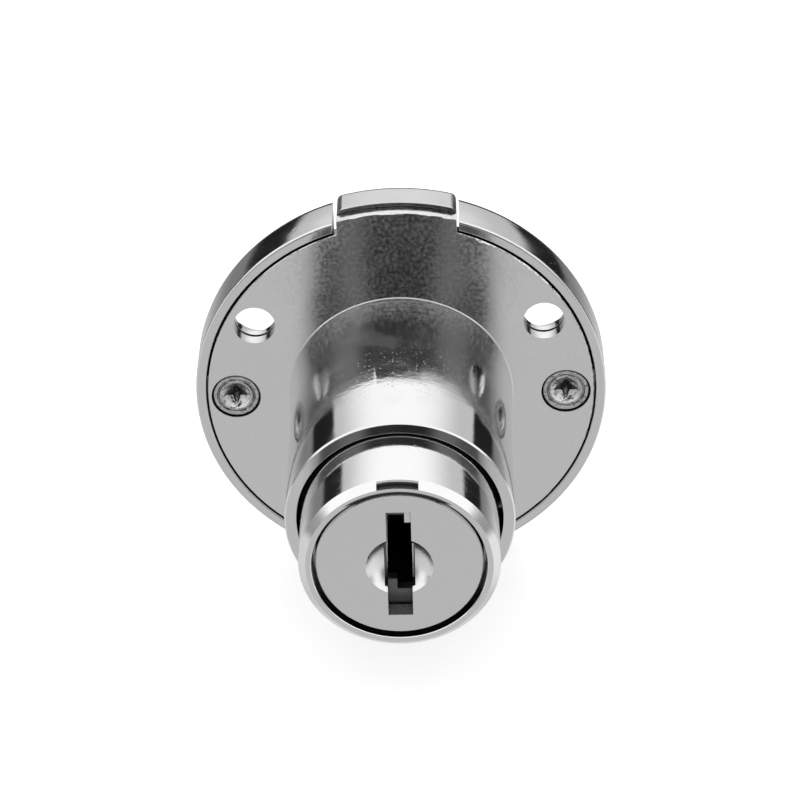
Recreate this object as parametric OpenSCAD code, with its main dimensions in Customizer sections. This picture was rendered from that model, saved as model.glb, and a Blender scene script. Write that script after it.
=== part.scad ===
// Round rim lock with a push-in cylinder: a press-in piston in a fixed barrel lifts a flat bolt
// out of the top of a round casing, and a key plug in the piston works the stud that holds it in.
// +Z is up, along the bolt. The barrel points along -Y. The origin is on the barrel's axis, in
// the front face of the flange, which is the face that sits against the panel.

/* [Flange] */
// Outer diameter of the rim casing
casing_d = 42; // [42:0.5:46]
// Thickness of the casing's rim
wall_t = 1.03; // [0.9:0.01:1.1]
// Thickness of the flange plate
plate_t = 1.3; // [1.1:0.05:1.3]
// Depth of the casing, from the mounting face to its back
casing_depth = 5.5; // [5.5:0.1:6.5]
// Thickness of the casing's back
back_t = 0.9; // [0.8:0.1:1]

/* [Barrel] */
// Outer diameter of the barrel
barrel_d = 22.3; // [22.2:0.1:22.8]
// Length of the barrel in front of the mounting face
barrel_len = 22.65; // [22:0.05:23.5]
// Bore of the barrel, in which the piston slides
bore_d = 19.96; // [19.96:0.02:20.2]

/* [Piston] */
// Diameter of the piston
piston_d = 19.14; // [18.9:0.02:19.14]
// Distance of the piston's front face from the mounting face when it is out
piston_front = 30.66; // [30.6:0.02:31]
// Stroke of the piston, and lift of the bolt
stroke = 6; // [5:0.5:6]

/* [Key plug] */
// Diameter of the plug's visible face
face_d = 15.94; // [15.8:0.02:16]
// Diameter of the plug behind its face
core_d = 13.1; // [13.06:0.01:13.15]
// Width of the keyway
keyway_w = 2.35; // [2:0.05:2.6]
// Diameter of the finger dish around the keyway
dish_d = 6.4; // [6:0.1:7]

/* [Bolt] */
// Width of the bolt
bolt_w = 11.95; // [11.5:0.05:12]
// Thickness of the bolt
bolt_t = 3.05; // [2.8:0.05:3.1]
// How far the withdrawn bolt stands out of the rim
bolt_proud = 0.65; // [0.2:0.05:1]

/* [Fixings] */
// Diameter of the circle on which the screw holes and rivets lie
fixing_pcd = 33.8; // [33.4:0.1:33.8]
// Diameter of the screw holes
screw_hole_d = 4.2; // [3.8:0.1:4.4]
// Diameter of the rivets' front heads
rivet_head_d = 4.7; // [4.4:0.1:4.8]

/* [Hidden] */
$fn = 96;
eps = 0.01;

// Casing and plate
casing_r = casing_d / 2;
rim_r = casing_r - wall_t;           // inside of the rim
rim_gap = 0.22;                      // dark line between the rim and the plate
plate_r = rim_r - rim_gap;
plate_edge = 0.06;                   // chamfer round the plate
cavity_back = casing_depth - back_t; // depth of the cavity's floor
rim_edge_r = 0.22;                   // rounding of the rim's front edge
back_edge_r = 1.3;                   // rounding of the casing's rear edge
seam = 0.06;                         // between the plate and the bosses behind it
tab_r = casing_r + 0.13;             // top of the plate's tab
bolt_half = bolt_w / 2;
slot_left = bolt_half + 0.44;        // gap for the bolt in the rim, each side of its middle
slot_right = bolt_half + 0.22;
slot_foot = 15.6;                    // the slot's lower end, in the casing's back
rivet_boss_r = 3.4;
screw_floor = 1.1;                   // thickness of the casing under a screw's head
screw_groove = 0.3;                  // depth of the relief round the hole, towards the plate
screw_groove_r = 0.5;                // how far it reaches beyond the hole
head_room_r = 3.6;                   // recess for a screw's head, from the casing's back
head_room_in = 0.6;                  // how far the recess lies nearer the middle than the hole
head_room_wall = 0.6;
fixing_r = fixing_pcd / 2;
screw_angles = [-60, 60, 180];       // from straight up, towards +X
rivet_angles = [-90, 90];
rib_gap = 0.2;                       // between the bolt and its guide ribs
rib_t = 1.2;

// Rivets
rivet_gap = 0.18;
rivet_sink = 0.12;    // how far the head lies behind the plate's face
rivet_brim = 0.4;     // depth of the straight part of its seat
rivet_head_h = 0.85;
rivet_shank_r = 1.75;
rivet_tail_r = 2.7;
rivet_tail_h = 0.45;
rivet_edge = 0.08;
ring_out_r = 2;       // shallow ring between the head's lip and its dimple
ring_in_r = 1.7;
ring_h = 0.14;
dimple_r = 1.55;
dimple_h = 1.2;
punch_r = 0.5;        // four punched flutes in the dimple
punch_reach = 1.5;
punch_tilt = 38;

// Barrel
barrel_r = barrel_d / 2;
bore_r = bore_d / 2;
root_r = barrel_r + 0.3;  // the barrel flares a little near its root
root_len = 7;
root_edge = 0.09;
root_steps = 10;
mouth_edge = 0.15;

// Piston
piston_r = piston_d / 2;
piston_rear = 5;
piston_lift = 0.25;   // how far the piston lies above the barrel's axis, pressed up by the stud
chamfer = 0.7;        // round the piston's front
mouth_r = face_d / 2 + 0.35;
mouth_bevel = 0.07;
head_seat = 28.5;     // where the plug's head seats
core_seat = 17.4;     // floor of the plug's bore
core_fit = 0.05;
groove_half = 2.6;    // half width of the four wafer grooves
groove_top = 7.35;
groove_from = 19.6;
notch_w = 3.9;        // pocket in the chamfer's top
notch_deep = 0.6;

// Stop pin that guides the piston
stop_pin_r = 1;
stop_pin_at = 6.8;
stop_pin_turn = 140;  // clockwise from straight up, seen from the front
stop_pin_depth = 1.7; // how far it stands into the bore

// Bolt
bolt_front = 1.4;     // behind the mounting face
bolt_tip_r = casing_r + bolt_proud;
bolt_corner = 0.95;
bolt_slope = 55;      // lean of the slope above each shoulder, in degrees
bolt_foot = -11.4;
bolt_edge = 0.1;
bolt_fall = 0.08;     // how much its top falls off at the back
bolt_fall_len = 0.3;
ramp_half = 1.5;      // half width of the bolt's driving ramp
ramp_h = 2.4;         // its thickness, measured upwards
ramp_foot = -9.5;     // its lower edge where it leaves the bolt
ramp_reach = 7;       // how far its tip stands in front of the mounting face
ramp_fit = 0.12;

// Return spring
spring_y = 6.4;       // height of its axis above the barrel's axis
spring_r = 2.2;
spring_wire = 0.5;
spring_seat = 9;      // floor of its pocket in the piston
peg_r = 1.2;
peg_h = 1.2;

// Key plug
plug_r = core_d / 2;
face_r = face_d / 2;
face_front = piston_front - 0.38;
face_edge = 0.15;
core_back = 17.5;
keyway_top = 5.92;
keyway_foot = -5.9;
keyway_back = 19.7;
ward_left = 0.55;     // left edge of the step in the keyway's upper right corner
ward_foot = 4.48;
ward_deep = 0.45;
dish_y = -0.3;
dish_ball_r = 4.4;
throat_half = 1.45;   // half width of the keyway inside the dish
neck_r = 5.6;         // groove for the retaining pin
neck_from = 18;
neck_to = 19.3;

// Locking stud and the crank pin that works it
stud_travel = 1.3;
crank_throw = stud_travel / sqrt(2);
crank_r = 0.7;
stud_half = 2.6;
stud_from = 14.1;
stud_to = 17.25;
stud_tip_r = 9.7;
stud_top = 2.9;
stud_mid = (stud_from + stud_to) / 2;
stud_window_left = -0.2;
stud_window_right = 1.8;
stud_fit = 0.1;
catch_half = 1.75;    // half length of each catch window in the barrel
stud_spring_top = 7.5;
stud_spring_r = 1;

// Retaining pin of the plug
keeper_r = 0.5;
keeper_y = 6.25;
keeper_at = 18.65;
keeper_half = 7;

// Wafers
wafer_t = 1;
wafer_half = 2.5;
wafer_tip_r = 6.45;
wafer_pitch = 1.65;
wafer_first = 21.25;
wafer_fit = 0.05;
wafer_room = 0.2;       // in front of each wafer, which lies against the rear of its slot
wafer_window_left = -1.3;
wafer_window_right = 1.35;
wafer_window_half = 4.3;
wafer_step_right = -0.3;                 // the step in the window's lower left corner
wafer_step_h = 1.15;
wafer_cuts = [0.3, 0.35, 0.5, 0.2, 0.1];   // height of each wafer's key window
ear_right = 4.1;
ear_foot = -0.2;
ear_top = 0.9;
pocket_right = 4.3;
pocket_foot = -4.6;
pocket_top = 2.6;
wafer_spring_r = 0.6;
wafer_spring_x = 3.45;

// Front view frame: X to the right, Y up, Z out of the front face along the barrel.
module front_view() {
  rotate([90, 0, 0]) children();
}

// The same frame on the piston's axis.
module piston_view() {
  front_view() translate([0, piston_lift, 0]) children();
}

// Points of an arc about c, from angle a to angle b, in n steps.
function arc(c, r, a, b, n) = [
  for (i = [0 : n]) [
    c[0] + r * cos(a + (b - a) * i / n),
    c[1] + r * sin(a + (b - a) * i / n)
  ]
];

// Puts its child on the fixing circle, turned clockwise from straight up.
module on_circle(turn) {
  translate([fixing_r * sin(turn), fixing_r * cos(turn), 0]) children();
}

// A block between two corners.
module block(low, high) {
  translate(low) cube(high - low);
}

// A round bar along Z from low to high.
module bar(r, low, high) {
  translate([0, 0, low]) cylinder(r = r, h = high - low);
}

// A coil of wire along Z, its outer radius r, standing on Z = 0.
module coil(r, wire, length, turns, steps, sides) {
  count = turns * steps;
  mean_r = r - wire / 2;
  rise = (length - wire) / count;
  lean = atan(rise * steps / (2 * PI * mean_r));
  points = [
    for (i = [0 : count])
      let (turn = 360 * i / steps, z = wire / 2 + rise * i)
        for (j = [0 : sides - 1])
          let (
            a = 360 * j / sides,
            out = mean_r + wire / 2 * cos(a),
            up = wire / 2 * sin(a)
          )
            [
              out * cos(turn) + up * sin(lean) * sin(turn),
              out * sin(turn) - up * sin(lean) * cos(turn),
              z + up * cos(lean)
            ]
  ];
  skin = [
    for (i = [0 : count - 1])
      for (j = [0 : sides - 1])
        let (a = i * sides + j, b = i * sides + (j + 1) % sides)
          each [[a, a + sides, b], [b, a + sides, b + sides]]
  ];
  ends = [
    [for (j = [0 : sides - 1]) j],
    [for (j = [0 : sides - 1]) count * sides + sides - 1 - j]
  ];
  polyhedron(points, concat(skin, ends));
}

// Flange plate with its tab, seen from the front.
module plate() {
  rotate_extrude($fn = 180)
    polygon([
      [0, -plate_t],
      [plate_r, -plate_t],
      [plate_r, -plate_edge],
      [plate_r - plate_edge, 0],
      [0, 0]
    ]);
  translate([0, 0, -plate_t])
    linear_extrude(plate_t)
      intersection() {
        circle(r = tab_r, $fn = 180);
        translate([-bolt_half, 12]) square([bolt_w, casing_r]);
      }
}

// The barrel flares a little towards its root, in a curve that ends level with its side.
module barrel_tube() {
  rotate_extrude($fn = 180)
    polygon(concat(
      [[0, -plate_t], [root_r + root_edge, -plate_t]],
      arc([root_r + root_edge, root_edge], root_edge, 270, 180, 3),
      [
        for (i = [1 : root_steps])
          let (share = i / root_steps)
            [
              barrel_r + (root_r - barrel_r) * pow(1 - share, 2),
              root_edge + (root_len - root_edge) * share
            ]
      ],
      [
        [barrel_r, barrel_len - mouth_edge],
        [barrel_r - mouth_edge, barrel_len],
        [0, barrel_len]
      ]
    ));
}

// The bore and everything cut into its wall.
module barrel_bore() {
  bar(bore_r, -plate_t - 1, barrel_len + 1, $fn = 180);
  translate([0, 0, barrel_len - mouth_edge / 2])
    cylinder(r1 = bore_r - eps, r2 = bore_r + mouth_edge, h = mouth_edge, $fn = 180);
  for (back = [0, stroke])
    block(
      [-stud_half - 0.15, -barrel_r - 1, stud_mid - back - catch_half],
      [stud_half + 0.15, -barrel_r + 3, stud_mid - back + catch_half]
    );
  stop_pin_place() cylinder(r = stop_pin_r, h = barrel_r, $fn = 48);
}

// The stop pin's axis, from the bore outwards.
module stop_pin_place() {
  rotate([0, 0, -stop_pin_turn])
    translate([0, bore_r - stop_pin_depth, stop_pin_at])
      rotate([-90, 0, 0])
        children();
}

module rivet_hole() {
  head_r = rivet_head_d / 2 + rivet_gap;
  shank_r = rivet_shank_r + rivet_gap;
  rotate_extrude($fn = 64)
    polygon([
      [0, -plate_t - 1],
      [shank_r, -plate_t - 1],
      [shank_r, -rivet_head_h],
      [head_r, -rivet_brim],
      [head_r, 1],
      [0, 1]
    ]);
}

module lock_body() {
  color([0.74, 0.75, 0.76])
    front_view()
      difference() {
        union() {
          plate();
          barrel_tube();
        }
        barrel_bore();
        for (turn = screw_angles)
          on_circle(turn) bar(screw_hole_d / 2, -plate_t - 1, 1, $fn = 64);
        for (turn = rivet_angles)
          on_circle(turn) rivet_hole();
      }
}

// The rim and back of the casing, turned in one profile.
module casing_shell() {
  rotate_extrude($fn = 180)
    polygon(concat(
      [[0, -casing_depth]],
      arc([casing_r - back_edge_r, back_edge_r - casing_depth], back_edge_r, -90, 0, 6),
      arc([casing_r - rim_edge_r, -rim_edge_r], rim_edge_r, 0, 90, 4),
      [[rim_r + 0.1, 0], [rim_r, -0.1], [rim_r, -cavity_back], [0, -cavity_back]]
    ));
}

// Upright ribs that guide the bolt, from their inner face outwards.
module guide_rib() {
  block(
    [bolt_half + rib_gap, bolt_foot, -cavity_back - eps],
    [bolt_half + rib_gap + rib_t, slot_foot, -plate_t - seam]
  );
}

// Puts its child where a screw's head sits, behind the hole at this turn.
module head_room(turn) {
  rotate([0, 0, -turn]) translate([0, fixing_r - head_room_in, 0]) children();
}

// A screw's hole through the casing, relieved towards the plate.
module screw_passage() {
  hole_r = screw_hole_d / 2;
  bar(hole_r, -casing_depth - 1, 0, $fn = 64);
  bar(hole_r + screw_groove_r, -plate_t - seam - screw_groove, 0, $fn = 64);
}

module rim_casing() {
  color([0.66, 0.67, 0.68])
    front_view()
      difference() {
        union() {
          casing_shell();
          intersection() {
            bar(rim_r + wall_t / 2, -casing_depth, 0);
            union() {
              for (turn = screw_angles)
                head_room(turn)
                  bar(head_room_r + head_room_wall, -cavity_back - eps, -plate_t - seam, $fn = 64);
              for (turn = rivet_angles)
                on_circle(turn) bar(rivet_boss_r, -cavity_back - eps, -plate_t - seam, $fn = 64);
            }
          }
          guide_rib();
          mirror([1, 0, 0]) guide_rib();
          translate([0, spring_y, 0])
            bar(peg_r, -cavity_back - eps, -cavity_back + peg_h, $fn = 48);
        }
        block([-slot_left, slot_foot, -casing_depth - 1], [slot_right, casing_r + 1, 1]);
        for (turn = screw_angles) {
          on_circle(turn) screw_passage();
          head_room(turn)
            bar(head_room_r, -casing_depth - 1, -plate_t - seam - screw_floor, $fn = 64);
        }
        for (turn = rivet_angles)
          on_circle(turn) bar(rivet_shank_r, -casing_depth - 1, 0, $fn = 48);
      }
}

// Rivet head with its lip, shallow ring and punched dimple, turned in one profile.
module rivet_blank() {
  head_r = rivet_head_d / 2;
  rotate_extrude($fn = 64)
    polygon([
      [0, -casing_depth - rivet_tail_h],
      [rivet_tail_r - 0.3, -casing_depth - rivet_tail_h],
      [rivet_tail_r, -casing_depth],
      [rivet_shank_r, -casing_depth],
      [rivet_shank_r, -rivet_head_h],
      [head_r, -rivet_brim],
      [head_r, -rivet_sink - rivet_edge],
      [head_r - rivet_edge, -rivet_sink],
      [ring_out_r, -rivet_sink],
      [ring_out_r - 0.1, -rivet_sink - ring_h],
      [ring_in_r + 0.1, -rivet_sink - ring_h],
      [ring_in_r, -rivet_sink],
      [dimple_r, -rivet_sink],
      [0.2, -dimple_h],
      [0, -dimple_h]
    ]);
}

// One rivet, its front head peened into the plate and its tail on the casing's back.
module rivet() {
  difference() {
    rivet_blank();
    for (turn = [0 : 90 : 270])
      rotate([0, 0, turn])
        translate([0, 0, -dimple_h])
          rotate([0, 90 - punch_tilt, 0])
            cylinder(r1 = punch_r, r2 = 0.12, h = punch_reach, $fn = 24);
  }
}

module casing_rivets() {
  color([0.5, 0.5, 0.51])
    front_view()
      for (turn = rivet_angles)
        on_circle(turn) rivet();
}

module piston_stop_pin() {
  color([0.6, 0.6, 0.62])
    front_view()
      stop_pin_place()
        cylinder(r = stop_pin_r, h = barrel_r - 0.1 - bore_r + stop_pin_depth, $fn = 48);
}

// Outline of the bolt from the front, open above its rounded shoulders, which end in a straight
// slope that the turned top cuts off.
module bolt_outline() {
  corner_x = bolt_half - bolt_corner;
  corner_y = sqrt(pow(bolt_tip_r - bolt_corner, 2) - pow(corner_x, 2));
  slope_x = corner_x + bolt_corner * cos(bolt_slope);
  slope_y = corner_y + bolt_corner * sin(bolt_slope);
  polygon(concat(
    [[-bolt_half, bolt_foot], [bolt_half, bolt_foot]],
    arc([corner_x, corner_y], bolt_corner, 0, bolt_slope, 6),
    [[0, slope_y + slope_x / tan(bolt_slope)]],
    arc([-corner_x, corner_y], bolt_corner, 180 - bolt_slope, 180, 6)
  ));
}

// Turned shape that gives the bolt its round top, which falls off a little at the back, and the
// bevel along its front edge.
module bolt_top() {
  rotate_extrude($fn = 180)
    polygon([
      [0, -bolt_front - bolt_t],
      [bolt_tip_r - bolt_fall, -bolt_front - bolt_t],
      [bolt_tip_r, -bolt_front - bolt_t + bolt_fall_len],
      [bolt_tip_r, -bolt_front - bolt_edge],
      [bolt_tip_r - bolt_edge, -bolt_front],
      [0, -bolt_front]
    ]);
}

// The sloping ramp in front of the bolt, grown by fit on its two working faces.
module ramp(fit, half, low, high) {
  foot = ramp_foot + bolt_front;
  translate([half, 0, 0])
    rotate([0, -90, 0])
      linear_extrude(2 * half)
        polygon([
          [low, foot + low - fit],
          [high, foot + high - fit],
          [high, foot + high + ramp_h + fit],
          [low, foot + low + ramp_h + fit]
        ]);
}

module dead_bolt() {
  color([0.7, 0.71, 0.72])
    front_view()
      difference() {
        union() {
          intersection() {
            translate([0, 0, -casing_depth])
              linear_extrude(casing_depth)
                bolt_outline();
            bolt_top();
          }
          ramp(0, ramp_half, -bolt_front - eps, ramp_reach);
        }
        for (y = [spring_y - stroke, spring_y])
          translate([0, y, 0]) bar(spring_r + 0.6, -bolt_front - bolt_t - 1, 0, $fn = 64);
        block(
          [-spring_r - 0.6, spring_y - stroke, -bolt_front - bolt_t - 1],
          [spring_r + 0.6, spring_y, 0]
        );
      }
}

module return_spring() {
  color([0.55, 0.55, 0.57])
    front_view()
      translate([0, spring_y, -cavity_back])
        coil(spring_r, spring_wire, cavity_back + spring_seat, 8, 12, 6);
}

// Turned outside of the piston.
module piston_blank() {
  rotate_extrude($fn = 180)
    polygon([
      [0, piston_rear],
      [piston_r - 0.4, piston_rear],
      [piston_r, piston_rear + 0.4],
      [piston_r, piston_front - chamfer],
      [piston_r - chamfer, piston_front],
      [0, piston_front]
    ]);
}

// Turned inside of the piston: the mouth, the seat of the plug's head and the plug's bore.
module piston_inside() {
  rotate_extrude($fn = 120)
    polygon([
      [0, core_seat],
      [plug_r + core_fit, core_seat],
      [plug_r + core_fit, head_seat],
      [mouth_r, head_seat],
      [mouth_r, piston_front - mouth_bevel],
      [mouth_r + mouth_bevel, piston_front],
      [mouth_r + mouth_bevel, piston_front + 1],
      [0, piston_front + 1]
    ]);
}

// Groove in which the stop pin runs.
module stop_groove() {
  rotate([0, 0, -stop_pin_turn])
    translate([0, bore_r - stop_pin_depth - 0.15, 0]) {
      for (at = [stop_pin_at, stop_pin_at + stroke])
        translate([0, 0, at])
          rotate([-90, 0, 0])
            cylinder(r = stop_pin_r + 0.08, h = 3, $fn = 48);
      block(
        [-stop_pin_r - 0.08, 0, stop_pin_at],
        [stop_pin_r + 0.08, 3, stop_pin_at + stroke]
      );
    }
}

// Pocket in the top of the piston's chamfer, down to the chamfer's inner edge.
module top_notch() {
  difference() {
    block(
      [-notch_w / 2, mouth_r, piston_front - notch_deep],
      [notch_w / 2, piston_r + 1, piston_front + 1]
    );
    bar(piston_r - chamfer, piston_front - 2, piston_front + 2, $fn = 180);
  }
}

// What the plug, its stud and its retaining pin need inside the piston, in the piston's frame.
module piston_cuts() {
  piston_inside();
  for (turn = [0, 90])
    rotate([0, 0, turn])
      block([-groove_half, -groove_top, groove_from], [groove_half, groove_top, head_seat + eps]);
  block(
    [-stud_half - stud_fit, -piston_r - 1, stud_from - stud_fit],
    [stud_half + stud_fit, stud_top + stud_fit, core_seat + eps]
  );
  translate([0, stud_top - 0.1, stud_mid])
    rotate([-90, 0, 0])
      cylinder(r = stud_spring_r + 0.2, h = stud_spring_top - stud_top + 0.1, $fn = 32);
  translate([0, keeper_y, keeper_at])
    rotate([0, 90, 0])
      cylinder(r = keeper_r, h = 2 * piston_r, center = true, $fn = 32);
  top_notch();
}

// The slots in which the bolt's ramp, the return spring and the stop pin work are placed by the
// casing, not by the piston's axis.
module push_piston() {
  color([0.8, 0.81, 0.82])
    difference() {
      piston_view()
        difference() {
          piston_blank();
          piston_cuts();
        }
      front_view() {
        ramp(ramp_fit, ramp_half + ramp_fit, piston_rear - 1, ramp_reach + stroke + 0.3);
        translate([0, spring_y, 0]) bar(spring_r + 0.3, piston_rear - 1, spring_seat, $fn = 64);
        stop_groove();
      }
    }
}

module plug_retaining_pin() {
  color([0.55, 0.55, 0.57])
    piston_view()
      translate([0, keeper_y, keeper_at])
        rotate([0, 90, 0])
          cylinder(r = keeper_r, h = 2 * keeper_half, center = true, $fn = 32);
}

// Stud that drops into a catch window of the barrel; its rear edge is bevelled.
module lock_stud() {
  window_top = crank_throw / sqrt(2) + crank_r + stud_fit;
  window_foot = -stud_travel / 2 - crank_r - stud_travel - stud_fit;
  color([0.6, 0.6, 0.61])
    piston_view()
      difference() {
        intersection() {
          block([-stud_half, -stud_tip_r - 1, stud_from], [stud_half, stud_top, stud_to]);
          bar(stud_tip_r, stud_from - 1, stud_to + 1, $fn = 120);
        }
        block(
          [stud_window_left, window_foot, stud_from - 1],
          [stud_window_right, window_top, stud_to + 1]
        );
        translate([0, -stud_tip_r, stud_from])
          rotate([45, 0, 0])
            cube([3 * stud_half, 1.6, 1.6], center = true);
      }
}

module stud_spring() {
  color([0.55, 0.55, 0.57])
    piston_view()
      translate([0, stud_top, stud_mid])
        rotate([-90, 0, 0])
          coil(stud_spring_r, 0.28, stud_spring_top - stud_top, 6, 10, 5);
}

// The plug's turned shape: face, core and the neck for the retaining pin.
module plug_blank() {
  rotate_extrude($fn = 120)
    polygon([
      [0, core_back],
      [plug_r - 0.2, core_back],
      [plug_r, core_back + 0.2],
      [plug_r, neck_from],
      [neck_r, neck_from],
      [neck_r, neck_to],
      [plug_r, neck_to],
      [plug_r, head_seat + 0.05],
      [face_r, head_seat + 0.05],
      [face_r, face_front - face_edge],
      [face_r - face_edge, face_front],
      [0, face_front]
    ]);
}

module keyway() {
  half = keyway_w / 2;
  block([-half, keyway_foot, keyway_back], [half, ward_foot, face_front + 1]);
  block([-half, ward_foot - eps, keyway_back], [ward_left, keyway_top, face_front + 1]);
  block([-half, ward_foot - eps, face_front - ward_deep], [half, keyway_top, face_front + 1]);
}

// Round dish in the face, and the throat through which the key slides.
module dish() {
  rise = sqrt(pow(dish_ball_r, 2) - pow(dish_d / 2, 2));
  translate([0, dish_y, face_front + rise]) sphere(r = dish_ball_r, $fn = 96);
  intersection() {
    block([-throat_half, dish_y - 3, face_front - 1.9], [throat_half, dish_y + 3, face_front + 1]);
    translate([0, dish_y, 0]) bar(dish_d / 2 - 0.4, face_front - 3, face_front + 1, $fn = 64);
  }
}

function wafer_at(i) = wafer_first + wafer_pitch * (i - 1);

module key_plug() {
  color([0.78, 0.79, 0.8])
    piston_view()
      difference() {
        plug_blank();
        keyway();
        dish();
        for (i = [1 : 5]) {
          rear = wafer_at(i) - wafer_t / 2 - wafer_fit;
          front = wafer_at(i) + wafer_t / 2 + wafer_room;
          block(
            [-wafer_half - wafer_fit, -plug_r - 1, rear],
            [wafer_half + wafer_fit, plug_r + 1, front]
          );
          block([wafer_half - 0.1, pocket_foot, rear], [pocket_right, pocket_top, front]);
        }
        crank_place() cylinder(r = crank_r, h = 2, center = true, $fn = 32);
      }
}

// The crank pin's place, at the plug's rear end.
module crank_place() {
  offset_each = crank_throw / sqrt(2);
  translate([offset_each, offset_each, core_back]) children();
}

module crank_pin() {
  color([0.55, 0.55, 0.57])
    piston_view()
      crank_place()
        bar(crank_r, stud_from + 0.15 - core_back, 1, $fn = 32);
}

// A wafer's key window at this height, with the step that fits the key's groove.
module wafer_window(height, at) {
  block(
    [wafer_step_right, height - wafer_window_half, at - 1],
    [wafer_window_right, height + wafer_window_half, at + 1]
  );
  block(
    [wafer_window_left, height - wafer_window_half + wafer_step_h, at - 1],
    [wafer_step_right + eps, height + wafer_window_half, at + 1]
  );
}

// A flat wafer with its key window and the ear on which its spring presses.
module wafer(i) {
  color([0.5, 0.5, 0.51])
    piston_view()
      difference() {
        union() {
          intersection() {
            block(
              [-wafer_half, -wafer_tip_r - 1, wafer_at(i) - wafer_t / 2],
              [wafer_half, wafer_tip_r + 1, wafer_at(i) + wafer_t / 2]
            );
            bar(wafer_tip_r, wafer_at(i) - 1, wafer_at(i) + 1, $fn = 96);
          }
          block(
            [wafer_half - 0.5, ear_foot, wafer_at(i) - wafer_t / 2],
            [ear_right, ear_top, wafer_at(i) + wafer_t / 2]
          );
        }
        wafer_window(wafer_cuts[i - 1], wafer_at(i));
      }
}

module wafer_spring(i) {
  color([0.55, 0.55, 0.57])
    piston_view()
      translate([wafer_spring_x, pocket_foot, wafer_at(i)])
        rotate([-90, 0, 0])
          coil(min(wafer_spring_r, wafer_t / 2), 0.18, ear_foot - pocket_foot, 6, 8, 4);
}

lock_body();
rim_casing();
casing_rivets();
piston_stop_pin();
dead_bolt();
return_spring();
push_piston();
plug_retaining_pin();
lock_stud();
stud_spring();
key_plug();
crank_pin();
wafer(1);  // wafer_1
wafer(2);  // wafer_2
wafer(3);  // wafer_3
wafer(4);  // wafer_4
wafer(5);  // wafer_5
wafer_spring(1);  // wafer_spring_1
wafer_spring(2);  // wafer_spring_2
wafer_spring(3);  // wafer_spring_3
wafer_spring(4);  // wafer_spring_4
wafer_spring(5);  // wafer_spring_5
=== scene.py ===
"""Looks of the round rim lock: plated castings, peened rivets and a keyed push-in piston."""

import random
from math import cos, radians, sin

import bmesh
import bpy
from mathutils import Matrix, Vector


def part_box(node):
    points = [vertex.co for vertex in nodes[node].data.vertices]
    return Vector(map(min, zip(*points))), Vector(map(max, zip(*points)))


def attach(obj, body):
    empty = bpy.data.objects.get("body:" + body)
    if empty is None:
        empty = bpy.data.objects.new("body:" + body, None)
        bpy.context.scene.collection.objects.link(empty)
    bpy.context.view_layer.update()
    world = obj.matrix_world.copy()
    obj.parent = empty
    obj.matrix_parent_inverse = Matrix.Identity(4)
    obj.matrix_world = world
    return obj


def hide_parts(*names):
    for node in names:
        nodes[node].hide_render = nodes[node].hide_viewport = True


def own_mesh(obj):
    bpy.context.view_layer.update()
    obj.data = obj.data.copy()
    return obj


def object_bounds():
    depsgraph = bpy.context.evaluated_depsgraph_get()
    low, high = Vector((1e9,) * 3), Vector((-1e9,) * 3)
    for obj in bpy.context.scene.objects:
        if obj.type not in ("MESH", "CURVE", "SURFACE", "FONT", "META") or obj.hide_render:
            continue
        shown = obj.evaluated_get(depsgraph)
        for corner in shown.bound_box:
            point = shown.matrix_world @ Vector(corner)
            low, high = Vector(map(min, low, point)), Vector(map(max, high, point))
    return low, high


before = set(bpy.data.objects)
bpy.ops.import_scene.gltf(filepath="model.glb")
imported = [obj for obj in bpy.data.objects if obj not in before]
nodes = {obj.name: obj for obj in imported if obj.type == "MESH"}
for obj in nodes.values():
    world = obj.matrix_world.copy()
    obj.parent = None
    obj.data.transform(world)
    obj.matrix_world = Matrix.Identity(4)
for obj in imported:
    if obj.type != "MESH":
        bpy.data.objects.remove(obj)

CAD_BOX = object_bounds()
MM = 0.001
scene = bpy.context.scene


# ---------------------------------------------------------------- camera

LENS = 139.4
DISTANCE = 316.4 * MM
ELEVATION = radians(32.65)
AZIMUTH = radians(0.27)
ROLL = radians(1.3)
AIM = Vector((-0.095, -1.189, 0)) * MM


def make_camera():
    """Long lens, above and in front of the key side, with the lock turned a little about its barrel."""
    back = Vector((sin(AZIMUTH) * cos(ELEVATION), -cos(AZIMUTH) * cos(ELEVATION), sin(ELEVATION)))
    right = Vector((cos(AZIMUTH), sin(AZIMUTH), 0))
    up = back.cross(right)
    pose = Matrix((right, up, back)).transposed().to_4x4()
    pose.translation = AIM + back * DISTANCE
    data = bpy.data.cameras.new("camera")
    data.lens = LENS
    data.sensor_width = 36
    data.clip_start = 0.01
    data.clip_end = 20
    camera = bpy.data.objects.new("camera", data)
    scene.collection.objects.link(camera)
    camera.matrix_world = Matrix.Rotation(ROLL, 4, "Y") @ pose
    scene.camera = camera


# ---------------------------------------------------------------- node helpers

# The Mix node's two inputs and its output, for numbers and for colours.
MIX_SOCKETS = {"FLOAT": (2, 3, 0), "RGBA": (6, 7, 2)}


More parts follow.
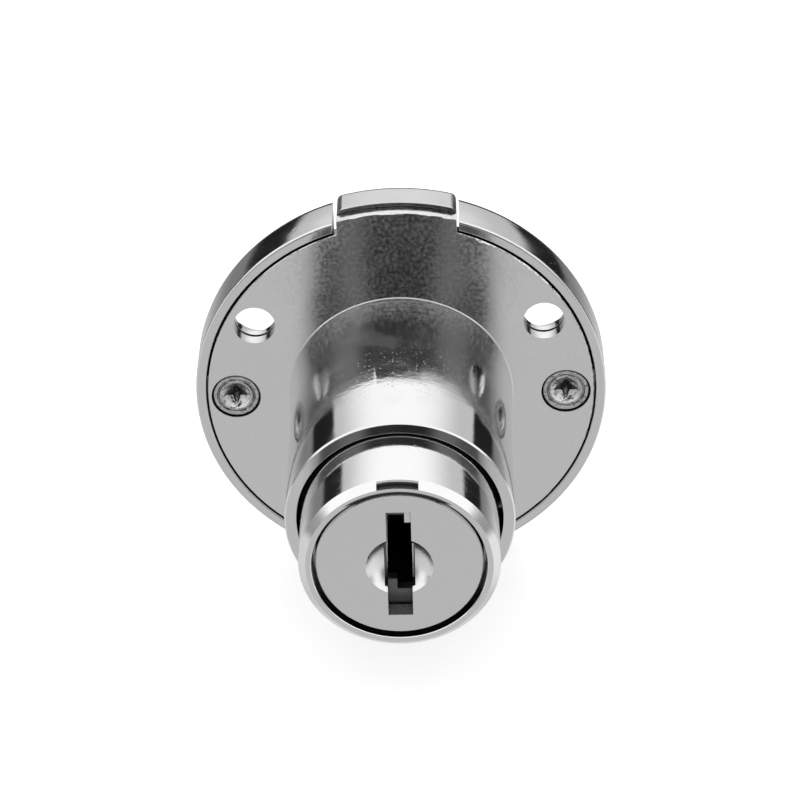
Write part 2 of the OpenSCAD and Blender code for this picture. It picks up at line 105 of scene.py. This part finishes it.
class Graph:
    """A material's or world's node tree, with short ways to add and link its nodes."""

    def __init__(self, tree):
        self.tree = tree
        tree.nodes.clear()

    def add(self, kind, inputs=None, **settings):
        made = self.tree.nodes.new("ShaderNode" + kind)
        for key, value in settings.items():
            setattr(made, key, value)
        for key, value in (inputs or {}).items():
            self.set(made.inputs[key], value)
        return made

    def set(self, socket, value):
        if isinstance(value, bpy.types.NodeSocket):
            self.tree.links.new(value, socket)
        else:
            socket.default_value = value

    def math(self, operation, a, b=0.0):
        return self.add("Math", {0: a, 1: b}, operation=operation).outputs[0]

    def plus(self, a, b):
        return self.math("ADD", a, b)

    def times(self, a, b):
        return self.math("MULTIPLY", a, b)

    def ramp(self, value, low, high, start=0.0, end=1.0):
        """Goes smoothly from start at low to end at high."""
        if low > high:
            low, high, start, end = high, low, end, start
        made = self.add(
            "MapRange",
            {"Value": value, "From Min": low, "From Max": high, "To Min": start, "To Max": end},
            interpolation_type="SMOOTHSTEP",
        )
        return made.outputs["Result"]

    def mixed(self, kind, share, a, b):
        """Goes from a, where share is 0, to b, where it is 1."""
        first, second, result = MIX_SOCKETS[kind]
        made = self.add("Mix", {0: share, first: a, second: b}, data_type=kind)
        return made.outputs[result]

    def mix(self, share, a, b):
        return self.mixed("FLOAT", share, a, b)

    def mix_colour(self, share, a, b):
        return self.mixed("RGBA", share, a, b)

    def noise(self, vector, scale, detail=3.0, rough=0.5):
        made = self.add(
            "TexNoise",
            {"Vector": vector, "Scale": scale, "Detail": detail, "Roughness": rough},
        )
        return made.outputs["Fac"]

    def split(self, vector):
        return self.add("SeparateXYZ", {0: vector}).outputs

    def radius(self, place):
        """Distance from the barrel's axis."""
        x, _, z = self.split(place)
        return self.math("SQRT", self.plus(self.times(x, x), self.times(z, z)))

    def turned(self, place, along, around):
        """Place for marks that run round the barrel's axis: fine along it or across a face."""
        x, y, z = self.split(place)
        radius = self.radius(place)
        near = self.math("MAXIMUM", radius, 0.0002)
        made = self.add("CombineXYZ", {
            0: self.times(self.plus(radius, y), along),
            1: self.times(self.math("DIVIDE", x, near), around),
            2: self.times(self.math("DIVIDE", z, near), around),
        })
        return made.outputs[0]


# ---------------------------------------------------------------- studio

TENT = 1.12          # brightness of the light tent overhead
TENT_LOW = 0.58      # and low behind the lock
WINGS = 0.3          # share of its light that is left at its two sides
TABLE = 0.54         # brightness of the table in front of and below the lock
BEHIND_LOW = 0.2     # brightness just under the horizon behind the lock
BEHIND_FLOOR = 0.7   # and of the floor further down
GAP_EDGE = 0.14      # brightness of the dark gap in front, at its edge
GAP_CORE = 0.006     # and in its middle, where the camera stands
FILL = 0.015         # light that comes from everywhere

HORIZON_TILT = 0.0957     # how much the horizon behind the lock drops towards the right
TO_CAMERA_Y = -0.842      # direction of the camera, seen from the lock
TO_CAMERA_Z = 0.5395


def make_world():
    """A light tent above and at the sides, a grey table below, and a dark gap where they part."""
    world = bpy.data.worlds.new("studio")
    scene.world = world
    world.use_nodes = True
    g = Graph(world.node_tree)
    x, y, z = g.split(g.add("TexCoord").outputs["Generated"])
    tilted = g.plus(z, g.times(x, HORIZON_TILT))

    tent = g.ramp(z, 0.22, 0.56, TENT_LOW, TENT)
    above = g.times(g.ramp(tilted, 0.13, 0.16), tent)
    ground = g.ramp(z, -0.62, -0.2, BEHIND_FLOOR, BEHIND_LOW)
    below = g.times(g.ramp(tilted, -0.17, -0.10, 1.0, 0.0), ground)
    behind = g.plus(above, below)

    sides = g.plus(g.ramp(x, 0.3, 0.85, 0.0, 0.32), g.ramp(x, -0.85, -0.3, 0.16, 0.0))
    table = g.times(g.plus(TABLE, sides), g.ramp(z, -1.0, -0.7, 0.66, 1.0))
    front = g.mix(g.ramp(z, -0.35, 0.0), table, TENT)
    towards = g.plus(g.times(y, TO_CAMERA_Y), g.times(z, TO_CAMERA_Z))
    core = g.ramp(towards, 0.89, 0.965, GAP_EDGE, GAP_CORE)
    low = g.ramp(g.math("ABSOLUTE", z), 0.08, 0.25, 0.5, 1.0)
    gap = g.times(core, low)
    in_gap = g.times(g.ramp(y, -0.80, -0.62, 1.0, 0.0), g.ramp(z, -0.45, -0.12))
    front = g.mix(in_gap, front, gap)

    light = g.mix(g.ramp(y, 0.15, 0.45), front, behind)
    wing = g.times(g.ramp(g.math("ABSOLUTE", x), 0.87, 0.96), g.ramp(z, -0.3, -0.1))
    light = g.times(light, g.mix(wing, 1.0, WINGS))
    light = g.plus(light, FILL)
    seen = g.add("LightPath").outputs["Is Camera Ray"]
    shade = g.add("Background", {"Color": (1, 1, 1, 1), "Strength": g.mix(seen, light, 1.0)})
    g.add("OutputWorld", {"Surface": shade.outputs[0]})


def make_floor():
    """A plain pale floor under the lock. The metal doesn't mirror it, as it mirrors the tent's table."""
    low = CAD_BOX[0][2]
    mesh = bpy.data.meshes.new("floor")
    half = 3.0
    corners = [(-half, -half, low), (half, -half, low), (half, half, low), (-half, half, low)]
    mesh.from_pydata(corners, [], [(0, 1, 2, 3)])
    floor = bpy.data.objects.new("floor", mesh)
    scene.collection.objects.link(floor)
    paint = bpy.data.materials.new("floor_paint")
    paint.use_nodes = True
    g = Graph(paint.node_tree)
    place = g.add("TexCoord").outputs["Object"]
    tone = g.ramp(g.noise(place, 60, 2), 0.3, 0.7, 0.94, 0.96)
    colour = g.add("CombineColor", {0: tone, 1: tone, 2: tone}).outputs[0]
    shader = g.add("BsdfPrincipled", {"Base Color": colour, "Roughness": 0.9})
    g.set(shader.inputs["Emission Color"], (1, 1, 1, 1))
    g.set(shader.inputs["Emission Strength"], 0.4)
    g.add("OutputMaterial", {"Surface": shader.outputs[0]})
    mesh.materials.append(paint)
    floor.visible_glossy = False
    floor.visible_shadow = False


# ---------------------------------------------------------------- materials

# Colour of the painted shade: gaps, notches and deep parts are darkened towards it.
SHADE_BLACK = (0.012, 0.012, 0.012, 1)
PLATE_FRONT = -0.5 * MM   # the flange lies behind this, the barrel in front of it


class Metal(Graph):
    """Plated metal."""

    def __init__(self, name, colour):
        self.made = bpy.data.materials.new(name)
        self.made.use_nodes = True
        super().__init__(self.made.node_tree)
        self.place = self.add("TexCoord").outputs["Object"]
        self.colour = (*colour, 1)
        self.height = 0.0
        self.rough = 0.1
        # How much painted shade darkens the colour, from 0 to 1.
        self.painted_shade = 0.0

    def ripple(self, scale, deep, detail=2.0, place=None, share=1.0):
        """Waves and grain of this depth in micrometres."""
        wave = self.noise(place or self.place, scale, detail)
        self.height = self.plus(self.height, self.times(self.times(wave, deep * 1e-6), share))

    def specks(self, scale, low, high, deep, share=1.0):
        """Sparse small bumps, or pits where deep is below 0."""
        spot = self.ramp(self.noise(self.place, scale, 1.5), low, high)
        self.height = self.plus(self.height, self.times(self.times(spot, deep * 1e-6), share))

    def flecks(self, scale, size, deep, share=1.0):
        """Single round bumps, one in about every second cell."""
        cell = self.add("TexVoronoi", {"Vector": self.place, "Scale": scale})
        spot = self.ramp(cell.outputs["Distance"], 0.0, size, 1.0, 0.0)
        kept = self.times(self.ramp(self.split(cell.outputs["Color"])[0], 0.5, 0.55), share)
        self.height = self.plus(self.height, self.times(self.times(spot, deep * 1e-6), kept))

    def paint_crevice_shade(self, reach, low=0.2, high=0.62, share=1.0):
        """Painted shade: darkens the colour towards black where the surface lies in a narrow gap, found by
        ambient occlusion.
        """
        open_sky = self.add("AmbientOcclusion", {"Distance": reach * MM}, samples=6)
        shade = self.ramp(open_sky.outputs["AO"], low, high, share, 0.0)
        self.painted_shade = self.math("MAXIMUM", self.painted_shade, shade)

    def finish(self, bevel):
        edge = self.add("Bevel", {"Radius": bevel * MM}, samples=4)
        bump = self.add("Bump", {"Strength": 1.0, "Distance": 1.0, "Height": self.height,
                                 "Normal": edge.outputs[0]})
        shader = self.add("BsdfPrincipled", {"Metallic": 1.0, "Normal": bump.outputs[0]})
        # Painted shade darkens the base colour towards black and makes it rougher.
        self.set(shader.inputs["Base Color"], self.mix_colour(self.painted_shade, self.colour, SHADE_BLACK))
        self.set(shader.inputs["Roughness"], self.mix(self.painted_shade, self.rough, 0.6))
        self.add("OutputMaterial", {"Surface": shader.outputs[0]})
        return self.made


DRAFT = 0.19 * MM    # how much the cast barrel leans in towards its front


def casting_metal():
    """The flange is satin with a soft cast ripple; the barrel is brighter, turned and a little scuffed."""
    m = Metal("casting_chrome", (0.83, 0.83, 0.835))
    y = m.split(m.place)[1]
    barrel = m.ramp(y, PLATE_FRONT, -0.2 * MM, 1.0, 0.0)
    flange = m.math("SUBTRACT", 1.0, barrel)
    cloud = m.noise(m.place, 180, 3)
    satin = m.ramp(cloud, 0.35, 0.65, 0.12, 0.18)
    bright = m.ramp(cloud, 0.35, 0.65, 0.035, 0.08)
    grain = m.ramp(m.noise(m.place, 2600, 3), 0.35, 0.65, -0.05, 0.07)
    m.rough = m.mix(barrel, m.plus(satin, grain), bright)
    m.ripple(450, 6, 3, share=flange)
    m.ripple(3600, 0.8, 2, share=flange)
    m.specks(1500, 0.70, 0.78, -5, flange)
    m.ripple(1, 4, 3, m.turned(m.place, 1300, 4), barrel)
    m.ripple(1, 2.2, 3, m.turned(m.place, 5200, 20), barrel)
    m.ripple(330, 7, 2, share=barrel)
    m.height = m.plus(m.height, m.ramp(y, -22 * MM, -5 * MM, 0.0, DRAFT))
    worn = m.times(m.ramp(y, -19 * MM, -14.5 * MM), m.ramp(y, -10 * MM, -2 * MM, 1.0, 0.25))
    worn = m.times(barrel, worn)
    m.rough = m.plus(m.rough, m.times(worn, 0.035))
    scuffed = m.ramp(m.noise(m.place, 170, 4), 0.52, 0.66)
    m.rough = m.plus(m.rough, m.times(m.times(barrel, scuffed), 0.09))
    m.ripple(1700, 8, 6, share=worn)
    m.flecks(2600, 0.25, 13, worn)
    m.flecks(4200, 0.35, 8, m.times(worn, scuffed))
    m.flecks(2400, 0.2, 6, flange)
    # Painted shade in narrow gaps.
    m.paint_crevice_shade(0.5)
    return m.finish(0.07)


def casing_metal(name, rough, colour=(0.82, 0.82, 0.825), curve=0.0):
    """Plated casting with long soft waves and a few nicks, whose side falls off towards the back."""
    m = Metal(name, colour)
    cloud = m.noise(m.place, 300, 3)
    m.rough = m.ramp(cloud, 0.3, 0.7, rough * 0.7, rough * 1.4)
    m.ripple(380, 14, 3)
    m.ripple(2400, 1.6, 3)
    back = m.math("MAXIMUM", m.plus(m.split(m.place)[1], -1.4 * MM), 0.0)
    m.height = m.plus(m.height, m.times(m.times(back, back), -curve))
    m.specks(1700, 0.68, 0.76, -6)
    # Painted shade in narrow gaps.
    m.paint_crevice_shade(0.5)
    return m.finish(0.09)


def piston_metal():
    """Turned and polished: its marks run round its axis."""
    m = Metal("piston_chrome", (0.85, 0.85, 0.855))
    fine = m.noise(m.turned(m.place, 3000, 4), 1, 3)
    m.rough = m.ramp(fine, 0.3, 0.7, 0.06, 0.13)
    m.ripple(1, 4.0, 3, m.turned(m.place, 1800, 6))
    m.ripple(1, 2.4, 3, m.turned(m.place, 6000, 22))
    m.ripple(500, 5, 2)
    m.specks(2400, 0.66, 0.74, -3)
    # Painted shade in narrow gaps.
    m.paint_crevice_shade(0.6)
    # Painted shade: the notch is darkened in the colour where it lies below the chamfer's cone, just
    # behind the face and at the top.
    _, y, z = m.split(m.place)
    behind_face = m.plus(y, -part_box("push_piston")[0][1])
    cone = m.math("SUBTRACT", m.radius(m.place), behind_face)
    below_chamfer = m.ramp(cone, 8.75 * MM, 8.83 * MM, 0.9, 0.0)
    notch = m.times(below_chamfer, m.ramp(behind_face, 0.62 * MM, 0.66 * MM, 1.0, 0.0))
    m.painted_shade = m.math("MAXIMUM", m.painted_shade, m.times(notch, m.ramp(z, 7 * MM, 7.5 * MM)))
    return m.finish(0.06)


def plug_metal():
    """The plug's face is finely blasted before it is plated; its keyway is darkened with painted shade."""
    m = Metal("plug_chrome", (0.83, 0.83, 0.835))
    fine = m.noise(m.place, 6500, 3)
    m.rough = m.ramp(fine, 0.3, 0.7, 0.16, 0.26)
    m.ripple(5200, 1.0, 2)
    m.ripple(600, 3, 2)
    m.specks(1900, 0.7, 0.78, -3)
    # Painted shade in the narrow gaps, and deeper in the keyway.
    m.paint_crevice_shade(0.6)
    m.paint_crevice_shade(2.6, 0.1, 0.4)
    return m.finish(0.05)


def burr_metal():
    """Bare bright metal, raised and torn, that stands out of the gap it lies beside."""
    m = Metal("burr_metal", (0.9, 0.9, 0.9))
    m.rough = m.ramp(m.noise(m.place, 3000, 3), 0.3, 0.7, 0.15, 0.3)
    m.ripple(2500, 8, 3)
    return m.finish(0.02)


def rivet_metal():
    """Peened by hand: uneven, with cracks at the lip and painted shade in its dimple."""
    m = Metal("rivet_metal", (0.66, 0.66, 0.665))
    fine = m.noise(m.place, 4200, 4)
    m.rough = m.ramp(fine, 0.3, 0.75, 0.1, 0.26)
    m.ripple(1500, 20, 3)
    m.ripple(4200, 5, 2)
    # Painted shade in the ring round the head and in the dimple.
    m.paint_crevice_shade(0.35)
    m.paint_crevice_shade(1.8, 0.45, 0.95, 0.72)
    return m.finish(0.05)


def steel_metal(name, colour, rough, dark_from=None):
    """Ground steel with fine lines; a part inside the plug gets painted shade, darker the deeper it lies.
    """
    m = Metal(name, colour)
    fine = m.noise(m.turned(m.place, 2600, 8), 1, 3)
    m.rough = m.ramp(fine, 0.3, 0.7, rough * 0.8, rough * 1.3)
    m.ripple(1, 2.5, 2, m.turned(m.place, 1800, 7))
    m.ripple(3600, 2.0, 2)
    if dark_from is not None:
        # Painted shade: the colour darkens with depth behind the front wafer.
        y = m.split(m.place)[1]
        m.painted_shade = m.ramp(y, dark_from, dark_from + 0.3 * MM, 0.0, 0.97)
    # Painted shade in narrow gaps.
    m.paint_crevice_shade(0.5)
    return m.finish(0.04)


def dress():
    """Gives each CAD node its metal."""
    behind_front_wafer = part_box("wafer_5")[1][1]
    metals = {
        "casting": casting_metal(),
        "casing": casing_metal("casing_chrome", 0.1, curve=10),
        "bolt": casing_metal("bolt_chrome", 0.2, (0.64, 0.64, 0.645)),
        "piston": piston_metal(),
        "plug": plug_metal(),
        "rivet": rivet_metal(),
        "burr": burr_metal(),
        "steel": steel_metal("ground_steel", (0.5, 0.5, 0.52), 0.25),
        "spring": steel_metal("spring_wire", (0.46, 0.46, 0.48), 0.3),
        "wafer": steel_metal("wafer_steel", (0.2, 0.2, 0.2), 0.4, behind_front_wafer),
    }
    kinds = {
        "lock_body": "casting", "rim_casing": "casing", "dead_bolt": "bolt",
        "casing_rivets": "rivet", "push_piston": "piston", "key_plug": "plug",
    }
    for name, node in nodes.items():
        kind = kinds.get(name, "steel")
        if "spring" in name:
            kind = "spring"
        elif name.startswith("wafer_"):
            kind = "wafer"
        node.data.materials.clear()
        node.data.materials.append(metals[kind])
    return metals


# ---------------------------------------------------------------- small worked metal

TAB_HALF = 9 * MM    # the plate's tab is narrower than this, each side of its middle
HEAD_BACK = 2 * MM   # the rivets' heads lie in front of this
BURR_SEED = 7

# Burrs, by their place in degrees clockwise from up. The torn ones have a start, an end, and a height
# and a width in mm, and the others a start and a length.
TORN_BURRS = ((17.6, 23, 0.09, 0.16), (23, 31, 0.13, 0.3), (33, 60, 0.18, 0.24))
SMALL_BURRS = ((-24, 5), (-33, 3), (-47, 4), (-71, 3), (128, 6), (151, 4))
TAB_BURRS = ((-13, 4), (-6, 9), (5, 6), (12, 3))


def plate_radius():
    """Radius of the flange plate, beside its tab."""
    return max(
        (v.co.x ** 2 + v.co.z ** 2) ** 0.5
        for v in nodes["lock_body"].data.vertices
        if abs(v.co.x) > TAB_HALF and v.co.y > PLATE_FRONT
    )


def new_piece(name, mesh, material):
    mesh.materials.clear()
    mesh.materials.append(material)
    piece = bpy.data.objects.new(name, mesh)
    scene.collection.objects.link(piece)
    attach(piece, "case")
    return piece


def burr_strip(bm, radius, start, end, height, width, dice):
    """A closed, uneven ridge of metal along the plate's edge, which fades out towards its ends."""
    count = max(8, int((end - start) * 6))
    rings = []
    tall, wide = 0.5, 0.5
    for i in range(count + 1):
        share = i / count
        tall = min(1.0, max(0.3, tall + dice.uniform(-0.3, 0.35)))
        wide = min(1.0, max(0.3, wide + dice.uniform(-0.25, 0.25)))
        fade = min(1.0, 5 * share, 5 * (1 - share)) * 0.95 + 0.05
        turn = radians(start + (end - start) * share)
        h = height * tall * fade
        w = width * wide * fade
        rings.append([
            bm.verts.new((r * sin(turn), y, r * cos(turn)))
            for r, y in (
                (radius + 0.02 * MM, 0.04 * MM),
                (radius - 0.45 * w, -h),
                (radius - 0.7 * w, -0.7 * h),
                (radius - w, 0.02 * MM),
            )
        ])
    for near, far in zip(rings, rings[1:]):
        for j in range(4):
            k = (j + 1) % 4
            bm.faces.new((near[j], far[j], far[k], near[k]))
    bm.faces.new(rings[0])
    bm.faces.new(list(reversed(rings[-1])))


def make_edge_burr(material):
    """The bright burr that peening has raised on the plate's edge, mostly at its upper right."""
    dice = random.Random(BURR_SEED)
    bm = bmesh.new()
    radius = plate_radius()
    for start, end, height, width in TORN_BURRS:
        burr_strip(bm, radius, start, end, height * MM, width * MM, dice)
    turn = 59.0
    while turn < 104:
        length = dice.uniform(2.5, 7)
        burr_strip(bm, radius, turn, turn + length, 0.07 * MM, 0.12 * MM, dice)
        turn += length + dice.uniform(0.5, 3)
    for start, length in SMALL_BURRS:
        burr_strip(bm, radius, start, start + length, 0.04 * MM, 0.08 * MM, dice)
    tab = max(v.co.z for v in nodes["lock_body"].data.vertices)
    for start, length in TAB_BURRS:
        burr_strip(bm, tab, start, start + length, 0.05 * MM, 0.14 * MM, dice)
    bmesh.ops.recalc_face_normals(bm, faces=bm.faces)
    mesh = bpy.data.meshes.new("edge_burr")
    bm.to_mesh(mesh)
    bm.free()
    new_piece("edge_burr", mesh, material)


def make_live_spring(material):
    """The return spring again, as a piece of its own with its own mesh, attached to the case."""
    spring = new_piece("return_spring_coil", nodes["return_spring"].data.copy(), material)
    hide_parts("return_spring")
    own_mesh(spring)


def peen_rivets():
    """Uneven hammered heads: their front is raised and sunk by up to 0.11 mm."""
    rivets = nodes["casing_rivets"]
    front = rivets.vertex_groups.new(name="front")
    front.add([v.index for v in rivets.data.vertices if v.co.y < HEAD_BACK], 1.0, "REPLACE")
    cells = rivets.modifiers.new("fine_mesh", "SUBSURF")
    cells.subdivision_type = "SIMPLE"
    cells.levels = cells.render_levels = 2
    for name, size, strength in (("dents", 0.55 * MM, 0.16 * MM), ("chips", 0.2 * MM, 0.06 * MM)):
        cloud = bpy.data.textures.new(name, "CLOUDS")
        cloud.noise_scale = size
        cloud.noise_depth = 2
        push = rivets.modifiers.new(name, "DISPLACE")
        push.texture = cloud
        push.texture_coords = "LOCAL"
        push.direction = "Y"
        push.vertex_group = "front"
        push.strength = strength
        push.mid_level = 0.5


make_camera()
make_world()
make_floor()
METALS = dress()
make_edge_burr(METALS["burr"])
make_live_spring(METALS["spring"])
peen_rivets()

scene.view_settings.view_transform = "Standard"
